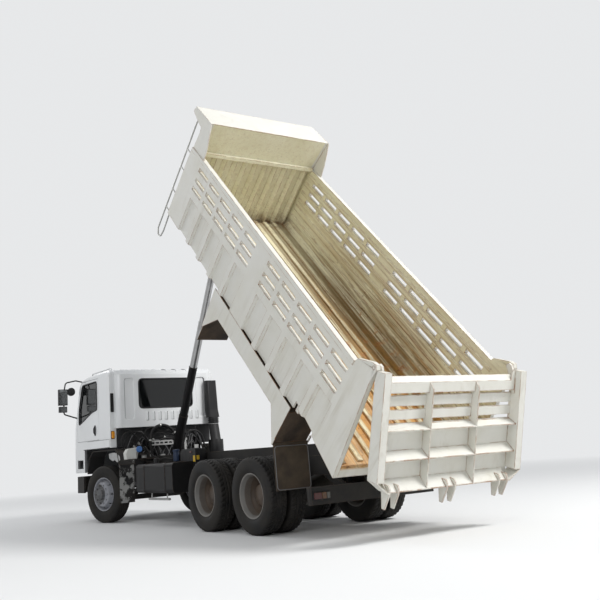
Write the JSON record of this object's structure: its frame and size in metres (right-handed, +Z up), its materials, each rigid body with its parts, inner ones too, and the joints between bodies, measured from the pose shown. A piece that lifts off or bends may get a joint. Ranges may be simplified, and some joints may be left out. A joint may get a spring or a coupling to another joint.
{
  "type": "dump truck",
  "caption": "Cab-over dump truck standing with its load bed raised by a telescopic hoist and its tailgate hanging open; cab, doors, steering, wheels, bed, hoist and gate all move.",
  "frame": {"origin": "on the ground, under the middle of the truck as it stands with its bed raised", "axes": "+X forwards, +Y to the truck's left, +Z up"},
  "size_m": [9.9068, 3.114, 6.7699],
  "materials": {
    "chassis_black": "satin, dusty",
    "engine_grey": "matte",
    "tank_black": "semi-gloss",
    "wheel_steel": "satin, dirty",
    "tyre": "matte",
    "cab_white": "gloss",
    "glass": "tinted",
    "seat_fabric": "woven",
    "cab_plastic": "matte",
    "bed_white": "satin, weathered and rusting",
    "ladder_steel": "galvanised",
    "flap_rubber": "dusty",
    "hoist_black": "semi-gloss",
    "hoist_chrome": "dulled"
  },
  "bodies": {
    "chassis": {"chassis_rails": "chassis_black", "chassis_crossmembers": "chassis_black", "bed_subframe": "chassis_black", "front_axle_beam": "chassis_black", "leaf_springs": "chassis_black", "rear_axles": "chassis_black", "propshafts": "chassis_black", "engine": "engine_grey", "front_bumper": "chassis_black", "front_mudguards": "chassis_black", "fuel_tank": "tank_black", "battery_box": "chassis_black", "air_tanks": "tank_black", "silencer": "engine_grey", "rear_underrun": "chassis_black", "air_duct": "chassis_black"},
    "cab": {"cab_floor": "cab_white", "cab_front_panel": "cab_white", "cab_back_panel": "cab_white", "cab_roof": "cab_white", "cab_glass": "glass", "cab_seats": "seat_fabric", "dashboard": "cab_plastic", "mirrors": "chassis_black", "air_intake": "chassis_black"},
    "door_left": {"door_left": "cab_white", "door_pane_left": "glass"},
    "door_right": {"door_right": "cab_white", "door_pane_right": "glass"},
    "bed": {"bed_floor": "bed_white", "bed_left_side": "bed_white", "bed_right_side": "bed_white", "bed_front_wall": "bed_white", "cab_guard": "bed_white", "bed_runners": "chassis_black", "wheel_boxes": "bed_white", "ladder": "ladder_steel"},
    "tailgate": {"tailgate": "bed_white"},
    "mudflap_left": {"mudflap_left": "flap_rubber"},
    "mudflap_right": {"mudflap_right": "flap_rubber"},
    "hoist_barrel": {"hoist_barrel": "hoist_black"},
    "hoist_stage_1": {"hoist_stage_1": "hoist_black"},
    "hoist_stage_2": {"hoist_stage_2": "hoist_chrome"},
    "hoist_stage_3": {"hoist_stage_3": "hoist_chrome"},
    "hoist_stage_4": {"hoist_stage_4": "hoist_chrome"},
    "hoist_stage_5": {"hoist_stage_5": "hoist_chrome"},
    "knuckle_left": {"knuckle_left": "engine_grey"},
    "front_wheel_left": {"front_rim_left": "wheel_steel", "front_tyre_left": "tyre"},
    "knuckle_right": {"knuckle_right": "engine_grey"},
    "front_wheel_right": {"front_rim_right": "wheel_steel", "front_tyre_right": "tyre"},
    "rear_wheels_1_left": {"rear_rims_1_left": "wheel_steel", "rear_tyres_1_left": "tyre"},
    "rear_wheels_1_right": {"rear_rims_1_right": "wheel_steel", "rear_tyres_1_right": "tyre"},
    "rear_wheels_2_left": {"rear_rims_2_left": "wheel_steel", "rear_tyres_2_left": "tyre"},
    "rear_wheels_2_right": {"rear_rims_2_right": "wheel_steel", "rear_tyres_2_right": "tyre"}
  },
  "joints": [
    {"name": "bed_tilt", "type": "hinge", "parent": "chassis", "child": "bed", "pos_m": [-2.934, 0, 1.007], "axis": [0, -1, 0], "range_deg": [-48.8, 0]},
    {"name": "tailgate_swing", "type": "hinge", "parent": "bed", "child": "tailgate", "pos_m": [-4.76403, 0, 1.94986], "axis": [0, 1, 0], "range_deg": [-22.7, 60]},
    {"name": "mudflap_left_hang", "type": "hinge", "parent": "bed", "child": "mudflap_left", "pos_m": [-2.53941, 0.91, 1.20116], "axis": [0, -1, 0], "range_deg": [0, 48.8]},
    {"name": "mudflap_right_hang", "type": "hinge", "parent": "bed", "child": "mudflap_right", "pos_m": [-2.53941, -0.91, 1.20116], "axis": [0, -1, 0], "range_deg": [0, 48.8]},
    {"name": "hoist_swing", "type": "hinge", "parent": "chassis", "child": "hoist_barrel", "pos_m": [2.72, 0, 0.9], "axis": [0, -1, 0], "range_deg": [-25.48, 0]},
    {"name": "hoist_slide_1", "type": "slide", "parent": "hoist_barrel", "child": "hoist_stage_1", "axis": [-0.4926, 0, 0.8702], "range_m": [-0.9805, 0]},
    {"name": "hoist_slide_2", "type": "slide", "parent": "hoist_stage_1", "child": "hoist_stage_2", "axis": [-0.4926, 0, 0.8702], "range_m": [-0.8905, 0]},
    {"name": "hoist_slide_3", "type": "slide", "parent": "hoist_stage_2", "child": "hoist_stage_3", "axis": [-0.4926, 0, 0.8702], "range_m": [-0.8905, 0]},
    {"name": "hoist_slide_4", "type": "slide", "parent": "hoist_stage_3", "child": "hoist_stage_4", "axis": [-0.4926, 0, 0.8702], "range_m": [-0.8905, 0]},
    {"name": "hoist_slide_5", "type": "slide", "parent": "hoist_stage_4", "child": "hoist_stage_5", "axis": [-0.4926, 0, 0.8702], "range_m": [-0.8905, 0]},
    {"name": "cab_tilt", "type": "hinge", "parent": "chassis", "child": "cab", "pos_m": [4.84, 0, 0.97], "axis": [0, 1, 0], "range_deg": [0, 50]},
    {"name": "door_left_hinge", "type": "hinge", "parent": "cab", "child": "door_left", "pos_m": [4.704, 1.165, 2.1], "axis": [0, 0, -1], "range_deg": [0, 65]},
    {"name": "door_right_hinge", "type": "hinge", "parent": "cab", "child": "door_right", "pos_m": [4.704, -1.165, 2.1], "axis": [0, 0, 1], "range_deg": [0, 65]},
    {"name": "steer_left", "type": "hinge", "parent": "chassis", "child": "knuckle_left", "pos_m": [3.51, 0.84, 0.5225], "axis": [0, 0, 1], "range_deg": [-50, 20]},
    {"name": "steer_right", "type": "hinge", "parent": "chassis", "child": "knuckle_right", "pos_m": [3.51, -0.84, 0.5225], "axis": [0, 0, 1], "range_deg": [-50, 20]},
    {"name": "front_wheel_left_spin", "type": "hinge", "parent": "knuckle_left", "child": "front_wheel_left", "pos_m": [3.51, 0.84, 0.5225], "axis": [-0.2588, 0.9659, 0], "continuous": true},
    {"name": "front_wheel_right_spin", "type": "hinge", "parent": "knuckle_right", "child": "front_wheel_right", "pos_m": [3.51, -0.84, 0.5225], "axis": [-0.2588, 0.9659, 0], "continuous": true},
    {"name": "rear_wheels_1_left_spin", "type": "hinge", "parent": "chassis", "child": "rear_wheels_1_left", "pos_m": [-0.6, 0.925, 0.5225], "axis": [0, 1, 0], "continuous": true},
    {"name": "rear_wheels_1_right_spin", "type": "hinge", "parent": "chassis", "child": "rear_wheels_1_right", "pos_m": [-0.6, -0.925, 0.5225], "axis": [0, 1, 0], "continuous": true},
    {"name": "rear_wheels_2_left_spin", "type": "hinge", "parent": "chassis", "child": "rear_wheels_2_left", "pos_m": [-1.92, 0.925, 0.5225], "axis": [0, 1, 0], "continuous": true},
    {"name": "rear_wheels_2_right_spin", "type": "hinge", "parent": "chassis", "child": "rear_wheels_2_right", "pos_m": [-1.92, -0.925, 0.5225], "axis": [0, 1, 0], "continuous": true}
  ],
  "couplings": [
    {"joint": "mudflap_left_hang", "follows": "bed_tilt", "ratio": -1},
    {"joint": "mudflap_right_hang", "follows": "bed_tilt", "ratio": -1},
    {"joint": "hoist_swing", "follows": "bed_tilt", "ratio": 0.52172},
    {"joint": "hoist_slide_1", "follows": "bed_tilt", "m_per_rad": 1.1506},
    {"joint": "hoist_slide_2", "follows": "bed_tilt", "m_per_rad": 1.0449},
    {"joint": "hoist_slide_3", "follows": "bed_tilt", "m_per_rad": 1.0449},
    {"joint": "hoist_slide_4", "follows": "bed_tilt", "m_per_rad": 1.0449},
    {"joint": "hoist_slide_5", "follows": "bed_tilt", "m_per_rad": 1.0449},
    {"joint": "steer_right", "follows": "steer_left", "ratio": 1}
  ]
}
